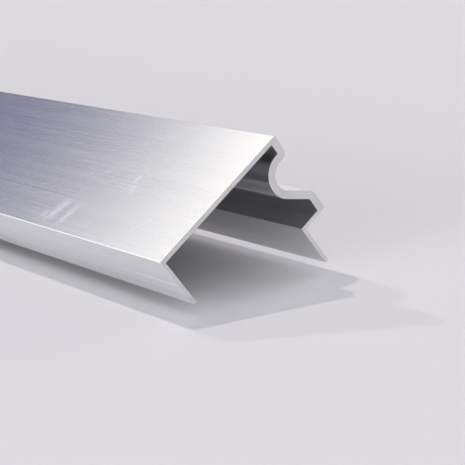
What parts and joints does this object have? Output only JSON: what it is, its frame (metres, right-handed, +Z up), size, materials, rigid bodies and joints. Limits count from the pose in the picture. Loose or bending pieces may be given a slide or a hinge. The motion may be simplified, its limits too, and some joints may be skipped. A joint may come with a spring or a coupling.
{
  "type": "aluminium extrusion profile",
  "caption": "Open aluminium extrusion: broad thin face, short leg, and a thick lip, round groove, slope and cheek stepping back to a long leg.",
  "frame": {"origin": "under the middle of the bounding box, at floor level, the piece lying on the feet of its two legs", "axes": "+Y along the stock, away from the sawn end in view; +X across the section, from the short leg to the long leg; +Z up"},
  "size_m": [0.0458, 1, 0.0324],
  "materials": {
    "mill_aluminium": "mill finish, satin, with fine die lines along the length"
  },
  "bodies": {
    "root": {"profile": "mill_aluminium"}
  },
  "joints": []
}
